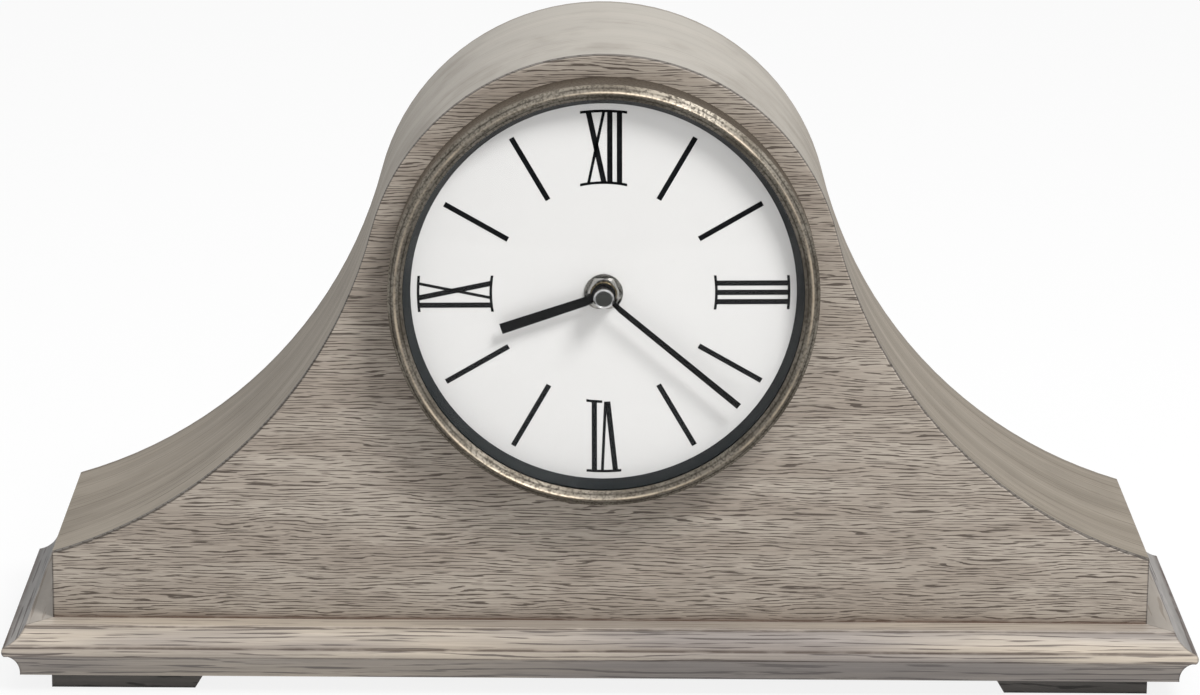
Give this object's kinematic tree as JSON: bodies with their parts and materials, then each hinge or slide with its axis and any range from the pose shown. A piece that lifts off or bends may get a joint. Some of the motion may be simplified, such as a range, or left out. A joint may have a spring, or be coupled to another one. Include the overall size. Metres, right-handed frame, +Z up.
{
  "type": "shelf clock",
  "caption": "Tambour shelf clock: domed wooden case on a moulded base, round glazed dial with coupled hands, chime movement behind a hinged back door.",
  "frame": {"origin": "on the ground under the middle of the clock's overall box", "axes": "+X to the right of the dial, +Y from the dial to the back, +Z up"},
  "size_m": [0.4572, 0.1406, 0.2481],
  "materials": {
    "oak_front": "open-pore oak veneer, weathered grey, satin",
    "oak_roof": "smooth oak veneer, weathered grey, satin",
    "oak_moulding": "weathered oak moulding, satin",
    "oak_foot": "dark stained oak, matte",
    "back_board": "stained fibreboard, matte",
    "antique_nickel": "antique nickel, speckled",
    "crystal_glass": "clear",
    "slate_ring": "slate black, satin",
    "dial_white": "off-white enamel, matte",
    "dial_board": "raw fibreboard",
    "hand_black": "flat black",
    "chrome_plate": "bright plated",
    "cap_face": "bright rim, dark satin face",
    "brass_plain": "satin brass",
    "steel_plain": "plated steel",
    "magnet_iron": "sintered ferrite",
    "black_plastic": "moulded, fine texture",
    "knob_plastic": "moulded ivory",
    "wheel_nylon": "moulded nylon",
    "gasket_rubber": "soft rubber",
    "speaker_paper": "pressed paper cone",
    "board_green": "solder-masked laminate",
    "coil_wire": "enamelled copper wire",
    "cell_wrap": "plain printed sleeve"
  },
  "bodies": {
    "case": {"back_panel": "back_board", "base_board": "back_board", "base_rail_back": "back_board", "base_rail_front": "oak_moulding", "base_rail_left": "oak_moulding", "base_rail_right": "oak_moulding", "base_screws": "steel_plain", "bezel": "antique_nickel", "bezel_screws": "steel_plain", "bush_nut": "chrome_plate", "bush_washer": "chrome_plate", "catch_magnet": "magnet_iron", "cell_contacts": "steel_plain", "cell_left": "cell_wrap", "cell_right": "cell_wrap", "centre_bush": "brass_plain", "circuit_board": "board_green", "crystal": "crystal_glass", "dial_backer": "dial_board", "dial_plate": "dial_white", "dial_surround": "slate_ring", "end_panel_left": "oak_front", "end_panel_right": "oak_front", "feet_back": "oak_foot", "feet_front": "oak_foot", "front_panel": "oak_front", "hinge_lower_case_leaf": "brass_plain", "hinge_pins": "brass_plain", "hinge_upper_case_leaf": "brass_plain", "motor_coil": "coil_wire", "movement_cover": "black_plastic", "movement_gasket": "gasket_rubber", "movement_screws": "steel_plain", "movement_shell": "black_plastic", "roof_skin": "oak_roof", "slide_switches": "black_plastic", "speaker_cone": "speaker_paper", "speaker_frame": "steel_plain", "speaker_magnet": "magnet_iron", "step_motor": "black_plastic", "train_bridge": "black_plastic", "volume_control": "black_plastic"},
    "door": {"back_door": "back_board", "catch_plate": "steel_plain", "hinge_lower_door_leaf": "brass_plain", "hinge_upper_door_leaf": "brass_plain"},
    "minute_work": {"minute_arbor": "steel_plain", "centre_wheel": "wheel_nylon", "minute_hand": "hand_black", "hand_nut": "cap_face"},
    "hour_work": {"hour_wheel": "wheel_nylon", "hour_hand": "hand_black"},
    "motion_work": {"motion_wheel": "wheel_nylon"},
    "third_work": {"third_wheel": "wheel_nylon"},
    "fourth_work": {"fourth_wheel": "wheel_nylon"},
    "set_stem": {"set_knob": "knob_plastic", "set_arbor": "wheel_nylon"},
    "volume": {"volume_knob": "knob_plastic"},
    "melody": {"melody_slide": "knob_plastic"},
    "night": {"night_slide": "knob_plastic"}
  },
  "joints": [
    {"name": "door_hinge", "type": "hinge", "parent": "case", "child": "door", "pos_m": [0.07225, 0.06828, 0.1573], "axis": [0, 0, -1], "range_deg": [0, 165]},
    {"name": "minute_turn", "type": "hinge", "parent": "case", "child": "minute_work", "pos_m": [0, -0.04492, 0.1587], "axis": [0, 1, 0], "continuous": true},
    {"name": "hour_turn", "type": "hinge", "parent": "case", "child": "hour_work", "pos_m": [0, -0.04492, 0.1587], "axis": [0, 1, 0], "continuous": true},
    {"name": "motion_turn", "type": "hinge", "parent": "case", "child": "motion_work", "pos_m": [0, -0.04492, 0.1507], "axis": [0, 1, 0], "continuous": true},
    {"name": "third_turn", "type": "hinge", "parent": "case", "child": "third_work", "pos_m": [0.0051, -0.04492, 0.16753], "axis": [0, 1, 0], "continuous": true},
    {"name": "fourth_turn", "type": "hinge", "parent": "case", "child": "fourth_work", "pos_m": [-0.00437, -0.04492, 0.17098], "axis": [0, 1, 0], "continuous": true},
    {"name": "set_knob_turn", "type": "hinge", "parent": "case", "child": "set_stem", "pos_m": [0, -0.04492, 0.1427], "axis": [0, 1, 0], "continuous": true},
    {"name": "volume_turn", "type": "hinge", "parent": "case", "child": "volume", "pos_m": [-0.034, -0.04492, 0.1297], "axis": [0, 1, 0], "range_deg": [0, 270]},
    {"name": "melody_travel", "type": "slide", "parent": "case", "child": "melody", "axis": [1, 0, 0], "range_m": [-0.003, 0.003]},
    {"name": "night_travel", "type": "slide", "parent": "case", "child": "night", "axis": [1, 0, 0], "range_m": [0, 0.004]}
  ],
  "couplings": [
    {"joint": "hour_turn", "follows": "minute_turn", "ratio": 0.083333},
    {"joint": "motion_turn", "follows": "minute_turn", "ratio": -0.33333},
    {"joint": "set_knob_turn", "follows": "minute_turn", "ratio": 1},
    {"joint": "third_turn", "follows": "minute_turn", "ratio": -7.5},
    {"joint": "fourth_turn", "follows": "minute_turn", "ratio": 60}
  ]
}
